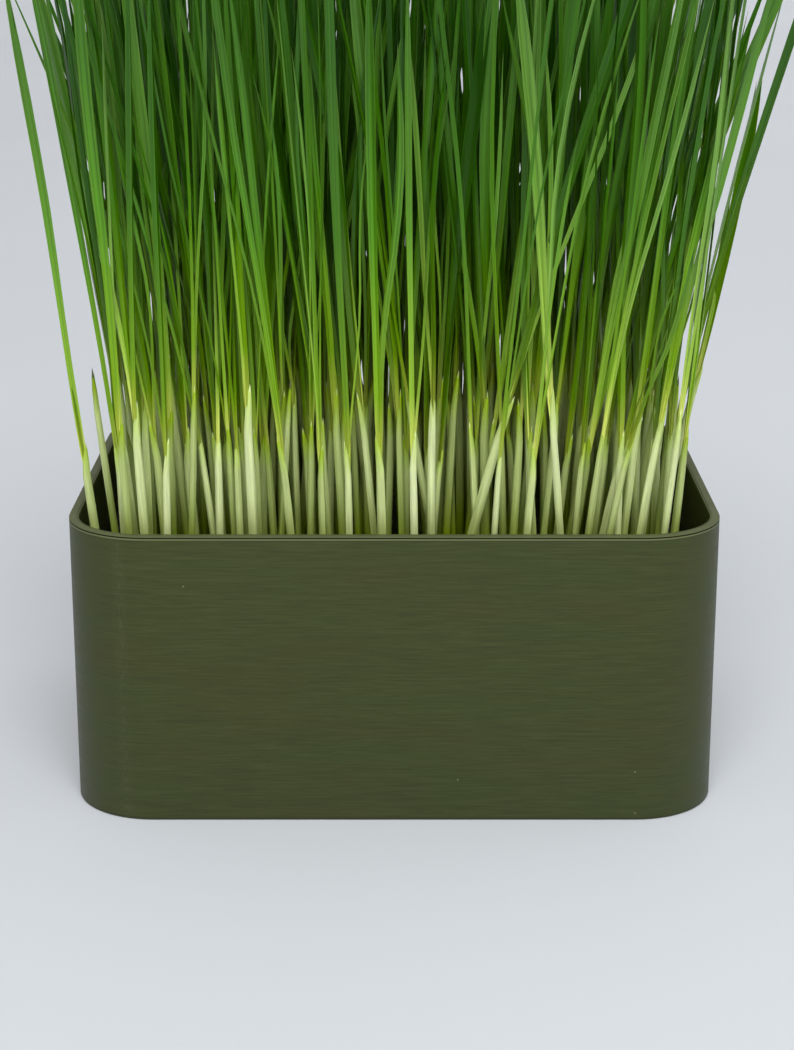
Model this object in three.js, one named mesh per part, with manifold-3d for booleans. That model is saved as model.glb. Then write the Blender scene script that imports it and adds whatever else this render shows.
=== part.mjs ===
// A printed planter of cat grass: a straight-walled rectangular tray with rounded corners, a bed of
// growing mix, and dense seedlings. The seedlings stand in tufts. Each tuft is fused to its own clod of
// mix and matted roots, and the clods lie side by side as the top layer of the bed.
// Millimetres, +Z up, +Y to the back. The origin is the centre of the tray's underside.
import * as THREE from "three";
import { mergeVertices } from "three/addons/utils/BufferGeometryUtils.js";
import Module from "manifold-3d";

const wasm = await Module();
wasm.setup();

// The tray, measured over its outside.
const TRAY = {
  width: 160,
  depth: 120,
  height: 73,
  cornerRadius: 20.5,
  wall: 2.4,
  floor: 3,
  footChamfer: 0.6,
  rimChamfer: 0.4,
};

// The bed: the surface is the height at which the seedlings leave it.
const BED = { surface: 54, clodDepth: 9, gap: 0.3 };

// The clods are the cells of a grid over the bed.
const CLODS = { columns: 6, rows: 4, shootsEach: 20 };

// Where a seedling may stand.
const SPACING = { apart: 3.7, fromWall: 4.2, fromSides: 11.5, fromClodEdge: 1.9, candidates: 60 };

// One seedling: a pale sheath, and the leaf that leaves its tip and opens above it. A bare sheath has
// no leaf yet and closes over a short blunt tip. All heights count from the bed's surface.
const SHEATH = { height: [37, 54], radius: [0.95, 1.3], sunk: 5, bareTip: 3 };
const NECK = { halfWidth: 1.0, thickness: 1.05 };
const LEAF = {
  reach: [152, 190],
  shortReach: [88, 128],
  width: [2.8, 4.5],
  shortWidth: 0.8,
  thickness: 0.95,
  twistSpread: 0.75,
};

// The leaf's sections: their heights as shares of the way from the sheath's tip to the leaf's, and
// their widths as shares of the leaf's width.
const LEAF_SECTIONS = [
  { share: 0.24, width: 0.82 },
  { share: 0.54, width: 1.0 },
  { share: 0.81, width: 0.78 },
];

// How the seedlings fan out from the middle, and how far each strays from its neighbours.
const HABIT = {
  fanLean: 0.05,
  fanBow: 0.05,
  leanSpread: 0.055,
  bowSpread: 0.038,
  strayShare: 0.14,
  strayFactor: 2.2,
  shortShare: 0.07,
  bareShare: 0.05,
};

// Seedlings that stand out at the edges of the bed: where each stands, how it leans and bows from side
// to side, the height of its sheath, and the reach and width of its leaf. The rest has a little play. A
// bare one reaches no higher than its sheath.
const OUTLIER_PLAY = { sway: 0.02, twist: 0.3 };
const OUTLIERS = [
  { x: -71, y: -43, lean: -0.13, bow: 0, sheath: 36, reach: 154, width: 3.1, facing: 0.1 },
  { x: -68, y: -39.5, lean: -0.1, bow: 0, sheath: 54, reach: 54, width: 2.8, facing: 0.3, bare: true },
  { x: -62, y: -32, lean: -0.1, bow: -0.05, sheath: 41, reach: 178, width: 3.9, facing: -0.2 },
  { x: -63, y: 4, lean: 0.03, bow: -0.27, sheath: 43, reach: 164, width: 3.8, facing: 0.2 },
  { x: 64, y: -21, lean: 0.17, bow: 0.07, sheath: 40, reach: 172, width: 4.2, facing: 0.3 },
  { x: 69, y: 4, lean: 0.25, bow: -0.06, sheath: 46, reach: 124, width: 4.3, facing: -0.1 },
  { x: 48.5, y: -48, lean: 0.15, bow: 0.13, sheath: 40, reach: 170, width: 3.9, facing: 0.15 },
  { x: 14.5, y: -50, lean: 0.25, bow: 0.02, sheath: 50, reach: 180, width: 4.6, facing: -0.1 },
];

// The clearance kept between any two seedlings and from the tray, and the steps in height at which it
// is measured. A seedling is drawn again, with less and less freedom, until it is clear.
const CLEAR = { between: 0.34, fromTray: 0.5, step: 3, tries: 70, leastFreedom: 0.25 };

// How far past each of the tray's sides a leaf may hang, and how far an outlier's may.
const HANG = { left: 4, right: 9, front: 9, back: 18, outlier: 27 };

const CORNER_STEPS = 4;
const SEED = 20260;

// A seedling's section is a triangle: an even one of radius 1 has this half width and this height.
const SECTION_SIDES = 3;
const EVEN_TRIANGLE = { halfWidth: Math.sqrt(3) / 2, height: 1.5 };

const FINISHES = {
  tray: { color: 0x474c2f, roughness: 0.55, metalness: 0 },
  mix: { color: 0x2a2018, roughness: 1, metalness: 0 },
  grass: { color: 0x4f8a1e, roughness: 0.5, metalness: 0 },
};

// Seeded random numbers from 0 to 1.
function randomSource(seed) {
  let state = seed;
  return () => {
    state = (state + 0x6d2b79f5) | 0;
    let mixed = Math.imul(state ^ (state >>> 15), 1 | state);
    mixed = (mixed + Math.imul(mixed ^ (mixed >>> 7), 61 | mixed)) ^ mixed;
    return ((mixed ^ (mixed >>> 14)) >>> 0) / 4294967296;
  };
}

const random = randomSource(SEED);
const between = ([low, high]) => low + (high - low) * random();

// A bell-shaped draw about 0, with a spread of about 1 and no long tails.
const bell = () => (random() + random() + random() - 1.5) * 2;

// The tray's outline drawn in by an inset, as points anticlockwise from above.
function trayOutline(inset) {
  const halfWidth = TRAY.width / 2 - TRAY.cornerRadius;
  const halfDepth = TRAY.depth / 2 - TRAY.cornerRadius;
  const radius = TRAY.cornerRadius - inset;
  const shape = new THREE.Shape();
  shape.absarc(halfWidth, -halfDepth, radius, -Math.PI / 2, 0);
  shape.absarc(halfWidth, halfDepth, radius, 0, Math.PI / 2);
  shape.absarc(-halfWidth, halfDepth, radius, Math.PI / 2, Math.PI);
  shape.absarc(-halfWidth, -halfDepth, radius, Math.PI, Math.PI * 1.5);
  return shape.getPoints(CORNER_STEPS);
}

// How far a point lies inside the tray's outline.
function depthInside(x, y) {
  const acrossX = Math.abs(x) - (TRAY.width / 2 - TRAY.cornerRadius);
  const acrossY = Math.abs(y) - (TRAY.depth / 2 - TRAY.cornerRadius);
  const outside = Math.hypot(Math.max(acrossX, 0), Math.max(acrossY, 0));
  const inside = Math.min(Math.max(acrossX, acrossY), 0);
  return TRAY.cornerRadius - outside - inside;
}

// A closed solid through level sections, each an anticlockwise ring of as many points, with a tip or a
// flat top.
function loft(sections, tip) {
  const count = sections[0].points.length;
  const positions = [];
  for (const { points, z } of sections) for (const p of points) positions.push(p.x, p.y, z);
  const faces = [];
  for (let i = 1; i < count - 1; i++) faces.push(0, i + 1, i);
  for (let level = 0; level < sections.length - 1; level++) {
    for (let i = 0; i < count; i++) {
      const low = level * count + i;
      const lowNext = level * count + ((i + 1) % count);
      faces.push(low, lowNext, lowNext + count, low, lowNext + count, low + count);
    }
  }
  const top = (sections.length - 1) * count;
  if (tip) {
    positions.push(tip.x, tip.y, tip.z);
    const apex = sections.length * count;
    for (let i = 0; i < count; i++) faces.push(top + i, top + ((i + 1) % count), apex);
  } else {
    for (let i = 1; i < count - 1; i++) faces.push(top, top + i, top + i + 1);
  }
  const geometry = new THREE.BufferGeometry();
  geometry.setAttribute("position", new THREE.Float32BufferAttribute(positions, 3));
  geometry.setIndex(faces);
  return geometry;
}

// A solid that can be joined and cut, from a closed geometry.
function toSolid(geometry) {
  const bare = geometry.clone();
  bare.deleteAttribute("normal");
  bare.deleteAttribute("uv");
  const merged = mergeVertices(bare);
  return new wasm.Manifold(
    new wasm.Mesh({
      numProp: 3,
      vertProperties: new Float32Array(merged.getAttribute("position").array),
      triVerts: new Uint32Array(merged.index.array),
    }),
  );
}

// A geometry from a joined or cut solid.
function toGeometry(solid) {
  const mesh = solid.getMesh();
  const geometry = new THREE.BufferGeometry();
  geometry.setAttribute("position", new THREE.BufferAttribute(mesh.vertProperties, 3));
  geometry.setIndex(new THREE.BufferAttribute(mesh.triVerts, 1));
  geometry.computeVertexNormals();
  return geometry;
}

function namedMesh(name, solid, finish) {
  const mesh = new THREE.Mesh(toGeometry(solid), new THREE.MeshStandardMaterial(finish));
  mesh.name = name;
  return mesh;
}

// The tray: an open box of even wall, with its foot and rim eased.
function makeTray() {
  const top = TRAY.height;
  const shell = loft([
    { points: trayOutline(TRAY.footChamfer), z: 0 },
    { points: trayOutline(0), z: TRAY.footChamfer },
    { points: trayOutline(0), z: top - TRAY.rimChamfer },
    { points: trayOutline(TRAY.rimChamfer), z: top },
  ]);
  const inner = TRAY.wall;
  const eased = inner - TRAY.rimChamfer;
  const cavity = loft([
    { points: trayOutline(inner), z: TRAY.floor },
    { points: trayOutline(inner), z: top - TRAY.rimChamfer },
    { points: trayOutline(eased), z: top },
    { points: trayOutline(eased), z: top + 1 },
  ]);
  return namedMesh("planter", toSolid(shell).subtract(toSolid(cavity)), FINISHES.tray);
}

// A flat slab that fills the tray from wall to wall, between two heights.
function bedSlab(low, high) {
  const points = trayOutline(TRAY.wall + BED.gap);
  return toSolid(loft([{ points, z: low }, { points, z: high }]));
}

function makeGrowingMix() {
  const top = BED.surface - BED.clodDepth - BED.gap;
  return namedMesh("growing_mix", bedSlab(TRAY.floor + BED.gap, top), FINISHES.mix);
}

// The clods' cells, front row first: the middle of each, and its half sizes.
function clodCells() {
  const halfX = (TRAY.width / 2 - TRAY.wall) / CLODS.columns;
  const halfY = (TRAY.depth / 2 - TRAY.wall) / CLODS.rows;
  const cells = [];
  for (let row = 0; row < CLODS.rows; row++) {
    for (let column = 0; column < CLODS.columns; column++) {
      cells.push({
        x: halfX * (2 * column + 1 - CLODS.columns),
        y: halfY * (2 * row + 1 - CLODS.rows),
        halfX,
        halfY,
      });
    }
  }
  return cells;
}

// One clod: the part of the bed's top layer that lies in a cell.
function makeClod(cell, layer) {
  const size = (half) => 2 * half - BED.gap;
  const box = new THREE.BoxGeometry(size(cell.halfX), size(cell.halfY), BED.clodDepth * 4);
  box.translate(cell.x, cell.y, BED.surface);
  return layer.intersect(toSolid(box));
}

// Which clod a point of the bed belongs to.
function clodAt(x, y, cells) {
  return cells.findIndex(
    (cell) => Math.abs(x - cell.x) <= cell.halfX && Math.abs(y - cell.y) <= cell.halfY,
  );
}

// Where the seedlings stand: the outliers, and then in each cell points drawn one by one, each the best
// of several for its distance from those already there.
function sowSeeds(cells) {
  const seeds = OUTLIERS.map((set) => ({ x: set.x, y: set.y, set, clod: clodAt(set.x, set.y, cells) }));
  const inset = TRAY.wall + SPACING.fromWall;
  const farthest = TRAY.width / 2 - TRAY.wall - SPACING.fromSides;
  for (let round = 0; round < CLODS.shootsEach; round++) {
    cells.forEach((cell, clod) => {
      let best = null;
      for (let i = 0; i < SPACING.candidates; i++) {
        const x = cell.x + (random() * 2 - 1) * (cell.halfX - SPACING.fromClodEdge);
        const y = cell.y + (random() * 2 - 1) * (cell.halfY - SPACING.fromClodEdge);
        if (depthInside(x, y) < inset || Math.abs(x) > farthest) continue;
        const room = Math.min(...seeds.map((s) => Math.hypot(s.x - x, s.y - y)));
        if (!best || room > best.room) best = { x, y, room, clod, kind: random() };
      }
      if (best && best.room >= SPACING.apart) seeds.push(best);
    });
  }
  return seeds;
}

// The order of growth: the outliers, and then the others shuffled, so that no side is grown first.
function growthOrder(seeds) {
  const order = seeds.slice();
  for (let i = order.length - 1; i > OUTLIERS.length; i--) {
    const j = OUTLIERS.length + Math.floor(random() * (i + 1 - OUTLIERS.length));
    [order[i], order[j]] = [order[j], order[i]];
  }
  return order;
}

// A level three-cornered section: two corners at the edges of a leaf and one on its keel.
function section(centre, angle, halfWidth, thickness, z) {
  const across = new THREE.Vector2(Math.cos(angle), Math.sin(angle));
  const keel = new THREE.Vector2(-across.y, across.x);
  const corner = (side, rise) =>
    centre.clone().addScaledVector(across, side * halfWidth).addScaledVector(keel, rise * thickness);
  return { points: [corner(-1, -1 / 3), corner(1, -1 / 3), corner(0, 2 / 3)], z };
}

// The habit of one seedling, drawn at random. Freedom from 1 to 0 says how far it may stray.
function drawHabit(seed, freedom) {
  const bare = seed.kind < HABIT.bareShare;
  const short = !bare && seed.kind < HABIT.bareShare + HABIT.shortShare;
  const stray = random() < HABIT.strayShare ? HABIT.strayFactor : 1;
  const fan = new THREE.Vector2((seed.x * 2) / TRAY.width, (seed.y * 2) / TRAY.depth);
  const drawn = (outward, spread) =>
    new THREE.Vector2(bell(), bell())
      .multiplyScalar(spread * freedom * stray)
      .addScaledVector(fan, outward);
  return {
    bare,
    lean: drawn(HABIT.fanLean, HABIT.leanSpread),
    bow: drawn(HABIT.fanBow, HABIT.bowSpread),
    sheath: between(SHEATH.height),
    radius: between(SHEATH.radius),
    reach: between(short ? LEAF.shortReach : LEAF.reach),
    width: between(LEAF.width) * (short ? LEAF.shortWidth : 1),
    facing: random() * Math.PI * 2,
    twist: bell() * LEAF.twistSpread,
  };
}

// The habit of an outlier, which is set but for a little play.
function outlierHabit(set) {
  return {
    ...set,
    bare: Boolean(set.bare),
    lean: new THREE.Vector2(set.lean, bell() * OUTLIER_PLAY.sway),
    bow: new THREE.Vector2(set.bow, bell() * OUTLIER_PLAY.sway),
    radius: between(SHEATH.radius),
    twist: bell() * OUTLIER_PLAY.twist,
  };
}

// One seedling's sections and tip.
function growShoot(seed, freedom) {
  const habit = seed.set ? outlierHabit(seed.set) : drawHabit(seed, freedom);
  const { lean, bow, sheath, radius, reach, width } = habit;
  const centreAt = (height) =>
    new THREE.Vector2(seed.x, seed.y)
      .addScaledVector(lean, height)
      .addScaledVector(bow, (Math.max(height, 0) * height) / reach);
  const at = (height, halfWidth, thickness) =>
    section(
      centreAt(height),
      habit.facing + (habit.twist * Math.max(height, 0)) / reach,
      halfWidth,
      thickness,
      BED.surface + height,
    );

  const { halfWidth: evenHalf, height: evenHeight } = EVEN_TRIANGLE;
  const neckHeight = habit.bare ? sheath - SHEATH.bareTip : sheath;
  const sections = [
    at(-SHEATH.sunk, radius * evenHalf, radius * evenHeight),
    at(neckHeight, NECK.halfWidth, NECK.thickness),
  ];
  if (!habit.bare) {
    for (const leaf of LEAF_SECTIONS) {
      const height = sheath + leaf.share * (reach - sheath);
      sections.push(at(height, (leaf.width * width) / 2, LEAF.thickness));
    }
  }
  const top = habit.bare ? sheath : reach;
  const end = centreAt(top);
  return { sections, tip: new THREE.Vector3(end.x, end.y, BED.surface + top), clod: seed.clod };
}

// A seedling's outline at each level step, with a circle that holds it. Each side of the loft is folded
// along a diagonal, so an outline has two corners for each side.
function outlines(shoot) {
  const rings = [
    ...shoot.sections,
    { points: Array(SECTION_SIDES).fill(shoot.tip), z: shoot.tip.z },
  ];
  const levels = [];
  let ring = 0;
  for (let z = BED.surface; z <= shoot.tip.z; z += CLEAR.step) {
    while (rings[ring + 1].z < z) ring++;
    const low = rings[ring];
    const high = rings[ring + 1];
    const t = (z - low.z) / (high.z - low.z);
    const mixed = (a, b) => ({ x: a.x + (b.x - a.x) * t, y: a.y + (b.y - a.y) * t });
    const corners = low.points.flatMap((p, i) => [
      mixed(p, high.points[i]),
      mixed(p, high.points[(i + 1) % SECTION_SIDES]),
    ]);
    const x = corners.reduce((sum, p) => sum + p.x, 0) / corners.length;
    const y = corners.reduce((sum, p) => sum + p.y, 0) / corners.length;
    const radius = Math.max(...corners.map((p) => Math.hypot(p.x - x, p.y - y)));
    levels.push({ corners, x, y, radius });
  }
  return levels;
}

function pointToEdge(p, a, b) {
  const dx = b.x - a.x;
  const dy = b.y - a.y;
  const along = ((p.x - a.x) * dx + (p.y - a.y) * dy) / (dx * dx + dy * dy || 1);
  const t = Math.min(Math.max(along, 0), 1);
  return Math.hypot(p.x - a.x - dx * t, p.y - a.y - dy * t);
}

// Whether two edges cross.
function edgesCross(a, b, c, d) {
  const side = (p, q, r) => (q.x - p.x) * (r.y - p.y) - (q.y - p.y) * (r.x - p.x);
  return side(a, b, c) * side(a, b, d) < 0 && side(c, d, a) * side(c, d, b) < 0;
}

// The least distance between the edges of two outlines, 0 where they cross.
function outlineGap(first, second) {
  let least = Infinity;
  for (let i = 0; i < first.length; i++) {
    const a = first[i];
    const b = first[(i + 1) % first.length];
    for (let j = 0; j < second.length; j++) {
      const c = second[j];
      const d = second[(j + 1) % second.length];
      if (edgesCross(a, b, c, d)) return 0;
      least = Math.min(least, pointToEdge(c, a, b), pointToEdge(a, c, d));
    }
  }
  return least;
}

function touches(levels, others) {
  const shared = Math.min(levels.length, others.length);
  for (let i = 0; i < shared; i++) {
    const p = levels[i];
    const q = others[i];
    const reach = p.radius + q.radius + CLEAR.between;
    if (Math.abs(p.x - q.x) > reach || Math.hypot(p.x - q.x, p.y - q.y) > reach) continue;
    if (outlineGap(p.corners, q.corners) < CLEAR.between) return true;
  }
  return false;
}

// Whether a leaf's tip hangs too far past one of the tray's sides.
function hangsTooFar(tip, isOutlier) {
  const over = {
    left: -tip.x - TRAY.width / 2,
    right: tip.x - TRAY.width / 2,
    front: -tip.y - TRAY.depth / 2,
    back: tip.y - TRAY.depth / 2,
  };
  return Object.keys(over).some((side) => over[side] > (isOutlier ? HANG.outlier : HANG[side]));
}

// Whether a seedling stays clear of the tray's wall and rim.
function clearOfTray(levels) {
  const highest = Math.ceil((TRAY.height - BED.surface) / CLEAR.step) + 1;
  const least = TRAY.wall + CLEAR.fromTray;
  return levels.slice(0, highest).every((level) => depthInside(level.x, level.y) > least + level.radius);
}

// Every seedling, each bent clear of those before it, or left out where it finds no way up.
function growAll(seeds) {
  const grown = [];
  for (const seed of seeds) {
    for (let i = 0; i < CLEAR.tries; i++) {
      const freedom = 1 - (1 - CLEAR.leastFreedom) * (i / CLEAR.tries);
      const shoot = growShoot(seed, freedom);
      const levels = outlines(shoot);
      if (hangsTooFar(shoot.tip, Boolean(seed.set)) || !clearOfTray(levels)) continue;
      if (grown.some((other) => touches(levels, other.levels))) continue;
      grown.push({ ...shoot, levels });
      break;
    }
  }
  return grown;
}

// The tufts: each clod with its seedlings fused into it.
function makeTufts() {
  const layer = bedSlab(BED.surface - BED.clodDepth, BED.surface);
  const cells = clodCells();
  const shoots = growAll(growthOrder(sowSeeds(cells)));
  return cells.map((cell, i) => {
    const own = shoots.filter((shoot) => shoot.clod === i);
    const solids = own.map((shoot) => toSolid(loft(shoot.sections, shoot.tip)));
    const tuft = wasm.Manifold.union([makeClod(cell, layer), ...solids]);
    const number = String(i + 1).padStart(2, "0");
    return namedMesh(`grass_tuft_${number}`, tuft, FINISHES.grass);
  });
}

const catGrass = new THREE.Group();
catGrass.add(makeTray(), makeGrowingMix(), ...makeTufts());

export default catGrass;
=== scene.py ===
"""Looks of a planter of cat grass: the printed tray, the bed, and every seedling's sheath and leaves.

Metres, +Z up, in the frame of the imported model. Each seedling's path, facing and width are read from
the tufts of that model, and its finer sheath and leaves are drawn along them.
"""

import logging
import math
import random
from collections.abc import Callable, Sequence
from dataclasses import dataclass, field
from enum import Enum

import bpy
import numpy as np
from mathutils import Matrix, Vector


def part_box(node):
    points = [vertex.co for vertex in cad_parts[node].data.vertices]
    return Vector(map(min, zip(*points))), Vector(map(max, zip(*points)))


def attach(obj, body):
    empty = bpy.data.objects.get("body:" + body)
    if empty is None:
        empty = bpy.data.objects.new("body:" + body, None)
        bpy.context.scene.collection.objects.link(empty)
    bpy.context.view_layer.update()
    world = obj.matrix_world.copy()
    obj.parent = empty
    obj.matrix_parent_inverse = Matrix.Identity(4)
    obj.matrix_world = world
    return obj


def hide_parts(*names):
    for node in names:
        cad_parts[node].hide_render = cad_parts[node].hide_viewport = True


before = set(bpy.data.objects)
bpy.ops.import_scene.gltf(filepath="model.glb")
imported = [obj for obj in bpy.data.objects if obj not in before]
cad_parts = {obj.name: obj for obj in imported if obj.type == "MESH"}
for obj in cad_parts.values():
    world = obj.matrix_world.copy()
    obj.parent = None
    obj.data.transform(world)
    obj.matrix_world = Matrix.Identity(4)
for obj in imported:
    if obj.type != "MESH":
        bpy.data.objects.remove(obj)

log = logging.getLogger("cat_grass")

MM = 0.001
Colour = tuple[float, float, float]
Range = tuple[float, float]
Change = tuple[Range, Range]
Socket = bpy.types.NodeSocket

# How far apart two things may lie and still count as level, or as on the same line.
LEVEL = 0.01 * MM
ON_LINE = 0.1 * MM
# How upright a normal is on a face that looks up, and how level on one that looks sideways.
LOOKS_UP = 0.9
LOOKS_OUT = 0.1
# Above this share of its height, a pattern's corner is its point.
POINT = 0.999


class Slot(Enum):
    """The record's material slots."""

    TRAY = "tray"
    MIX = "mix"
    GRASS = "grass"


class LeafKind(Enum):
    """Whether a leaf is the one that the model holds, or one of the younger ones beside it."""

    FIRST = "first"
    SECOND = "second"
    THIRD = "third"


def deselect() -> None:
    """Deselects every object."""
    bpy.ops.object.select_all(action="DESELECT")


def activate(piece: bpy.types.Object) -> None:
    """Selects one object alone and makes it the active one.

    Args:
        piece: the object that the next operators act on.
    """
    deselect()
    piece.select_set(True)
    bpy.context.view_layer.objects.active = piece


def pick(
    piece: bpy.types.Object,
    faces: Callable[[bpy.types.MeshPolygon], bool] | None = None,
    edges: Callable[[Vector, Vector], bool] | None = None,
    points: Callable[[Vector], bool] | None = None,
) -> None:
    """Selects parts of a mesh by their place, and enters edit mode on them.

    Args:
        piece: the object to edit.
        faces: says of a face whether it is picked.
        edges: says of an edge's two ends whether it is picked.
        points: says of a vertex's place whether it is picked.
    """
    activate(piece)
    mode = "FACE" if faces else "EDGE" if edges else "VERT"
    bpy.ops.object.mode_set(mode="EDIT")
    bpy.ops.mesh.select_mode(type=mode)
    bpy.ops.mesh.select_all(action="DESELECT")
    bpy.ops.object.mode_set(mode="OBJECT")
    mesh = piece.data
    if faces:
        for face in mesh.polygons:
            face.select = faces(face)
    elif edges:
        for edge in mesh.edges:
            a, b = (mesh.vertices[i].co for i in edge.vertices)
            edge.select = edges(a, b)
    elif points:
        for vertex in mesh.vertices:
            vertex.select = points(vertex.co)
    bpy.ops.object.mode_set(mode="EDIT")


def done_editing() -> None:
    """Leaves edit mode."""
    bpy.ops.object.mode_set(mode="OBJECT")


def settle(piece: bpy.types.Object) -> None:
    """Puts an object's place, turn and scale into its mesh.

    Args:
        piece: the object, which then sits at the origin.
    """
    activate(piece)
    bpy.ops.object.transform_apply(location=True, rotation=True, scale=True)


def apply_modifiers(piece: bpy.types.Object) -> None:
    """Applies all of an object's modifiers, in order."""
    activate(piece)
    for modifier in list(piece.modifiers):
        bpy.ops.object.modifier_apply(modifier=modifier.name)


def smooth(piece: bpy.types.Object, degrees: float) -> None:
    """Shades an object smooth, but for edges sharper than an angle."""
    activate(piece)
    bpy.ops.object.shade_smooth_by_angle(angle=math.radians(degrees))


def hand_over(piece: bpy.types.Object, nodes: Sequence[str]) -> None:
    """Makes a finished piece ride on the body and stand for its nodes.

    Args:
        piece: the finished object.
        nodes: the model's nodes that the piece replaces.
    """
    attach(piece, "root")
    if nodes:
        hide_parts(*nodes)


def join(pieces: Sequence[bpy.types.Object], name: str) -> bpy.types.Object:
    """Joins objects into one.

    Args:
        pieces: the objects.
        name: the joined object's name.

    Returns:
        The joined object.
    """
    deselect()
    for piece in pieces:
        piece.select_set(True)
    bpy.context.view_layer.objects.active = pieces[0]
    bpy.ops.object.join()
    joined = bpy.context.object
    joined.name = name
    joined.data.name = name
    return joined


def smooth_through(at: np.ndarray, xs: Sequence[float], ys: Sequence[float]) -> np.ndarray:
    """A smooth curve through given points, with no overshoot between them.

    Args:
        at: where to read the curve.
        xs: the points' rising positions.
        ys: the points' values.

    Returns:
        The curve's values.
    """
    x, y = np.asarray(xs, float), np.asarray(ys, float)
    slope = np.diff(y) / np.diff(x)
    inner = np.where(slope[:-1] * slope[1:] > 0, (slope[:-1] + slope[1:]) / 2, 0.0)
    tangent = np.concatenate(([slope[0]], inner, [slope[-1]]))
    i = np.clip(np.searchsorted(x, at, side="right") - 1, 0, len(x) - 2)
    span = x[i + 1] - x[i]
    t = (np.clip(at, x[0], x[-1]) - x[i]) / span
    return (
        (2 * t**3 - 3 * t**2 + 1) * y[i]
        + (t**3 - 2 * t**2 + t) * span * tangent[i]
        + (3 * t**2 - 2 * t**3) * y[i + 1]
        + (t**3 - t**2) * span * tangent[i + 1]
    )


class Graph:
    """A material's node tree, with short ways to add what the finishes need."""

    def __init__(self, name: str) -> None:
        """Starts a material with one principled shader.

        Args:
            name: the material's name.
        """
        self.material = bpy.data.materials.new(name)
        self.material.use_nodes = True
        self.tree = self.material.node_tree
        self.shader = self.tree.nodes["Principled BSDF"]

    def set(self, socket: str, value: float | Colour) -> None:
        """Sets one of the shader's own sockets.

        Args:
            socket: the socket's name.
            value: a number, or a colour or radius of three.
        """
        target = self.shader.inputs[socket]
        is_colour = isinstance(value, tuple) and len(target.default_value) == 4
        target.default_value = (*value, 1.0) if is_colour else value

    def feed(self, socket: str, source: Socket) -> None:
        """Links a value that varies over the surface to one of the shader's sockets."""
        self.tree.links.new(source, self.shader.inputs[socket])

    def node(self, kind: str, **inputs: object) -> bpy.types.Node:
        """Adds a node, with some of its inputs set or linked.

        Args:
            kind: the node's type, without its ShaderNode prefix.
            inputs: values or sockets by input name, with _ for a space.

        Returns:
            The node.
        """
        made = self.tree.nodes.new("ShaderNode" + kind)
        for name, value in inputs.items():
            self.put(made.inputs[name.replace("_", " ")], value)
        return made

    def put(self, target: Socket, value: object) -> None:
        """Links a socket to an input, or sets the input's own value."""
        if isinstance(value, bpy.types.NodeSocket):
            self.tree.links.new(value, target)
        else:
            target.default_value = value

    def place(self) -> Socket:
        """The point's place in the object's own frame."""
        return self.node("TexCoord").outputs["Object"]

    def attribute(self, name: str) -> Socket:
        """A number stored on the mesh."""
        made = self.node("Attribute")
        made.attribute_name = name
        return made.outputs["Fac"]

    def parts(self, vector: Socket) -> tuple[Socket, Socket, Socket]:
        """The three parts of a vector."""
        made = self.node("SeparateXYZ", Vector=vector)
        return made.outputs["X"], made.outputs["Y"], made.outputs["Z"]

    def vector(self, x: object, y: object, z: object) -> Socket:
        """A vector of three numbers or sockets."""
        return self.node("CombineXYZ", X=x, Y=y, Z=z).outputs["Vector"]

    def stretch(self, vector: Socket, scale: Colour) -> Socket:
        """A vector scaled along each axis."""
        return self.node("Mapping", Vector=vector, Scale=scale).outputs["Vector"]

    def noise(self, vector: Socket, scale: float, detail: float = 3.0, rough: float = 0.5) -> Socket:
        """Smooth random values from 0 to 1.

        Args:
            vector: where to read the noise.
            scale: how many features there are to a unit.
            detail: how many finer layers it has.
            rough: how strong they are.

        Returns:
            The noise's value.
        """
        made = self.node("TexNoise", Vector=vector, Scale=scale, Detail=detail, Roughness=rough)
        return made.outputs["Fac"]

    def math(self, operation: str, a: object, b: object = 0.0) -> Socket:
        """The result of a sum or comparison on two numbers.

        Args:
            operation: its name, such as MULTIPLY.
            a: the first number or socket.
            b: the second one.

        Returns:
            The result.
        """
        made = self.node("Math")
        made.operation = operation
        self.put(made.inputs[0], a)
        self.put(made.inputs[1], b)
        return made.outputs["Value"]

    def rescale(self, value: Socket, source: Range, target: Range) -> Socket:
        """Moves a value from one range to another, held at the ends.

        Args:
            value: the value.
            source: the range that it has.
            target: the range that it gets.

        Returns:
            The moved value.
        """
        made = self.node("MapRange", Value=value)
        for name, number in zip(("From Min", "From Max", "To Min", "To Max"), (*source, *target)):
            made.inputs[name].default_value = number
        return made.outputs["Result"]

    def ramp(self, value: Socket, stops: Sequence[tuple[float, Colour]]) -> Socket:
        """A colour that changes with a value.

        Args:
            value: from 0 to 1.
            stops: places along the ramp with their colours.

        Returns:
            The colour.
        """
        made = self.node("ValToRGB", Fac=value)
        elements = made.color_ramp.elements
        while len(elements) < len(stops):
            elements.new(0.5)
        for element, (place, colour) in zip(elements, stops):
            element.position = place
            element.color = (*colour, 1.0)
        return made.outputs["Color"]

    def mix(self, share: object, a: object, b: object, blend: str = "MIX") -> Socket:
        """A mix of two colours.

        Args:
            share: how much of the second colour there is.
            a: the first colour or socket.
            b: the second one.
            blend: the way they mix.

        Returns:
            The mixed colour.
        """
        made = self.node("Mix")
        made.data_type = "RGBA"
        made.blend_type = blend
        self.put(made.inputs["Factor"], share)
        for name, value in (("A", a), ("B", b)):
            target = next(i for i in made.inputs if i.name == name and i.type == "RGBA")
            self.put(target, (*value, 1.0) if isinstance(value, tuple) else value)
        return next(o for o in made.outputs if o.type == "RGBA")

    def adjust(self, colour: Socket, hue: object, saturation: object, value: object) -> Socket:
        """A colour with its hue, saturation and brightness changed."""
        made = self.node("HueSaturation", Hue=hue, Saturation=saturation, Value=value, Color=colour)
        return made.outputs["Color"]

    def bump(self, height: Socket, distance: float) -> None:
        """Raises the surface's shading by a height.

        Args:
            height: from 0 to 1.
            distance: the real height of 1, in metres.
        """
        made = self.node("Bump", Height=height, Distance=distance)
        self.feed("Normal", made.outputs["Normal"])


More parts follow.
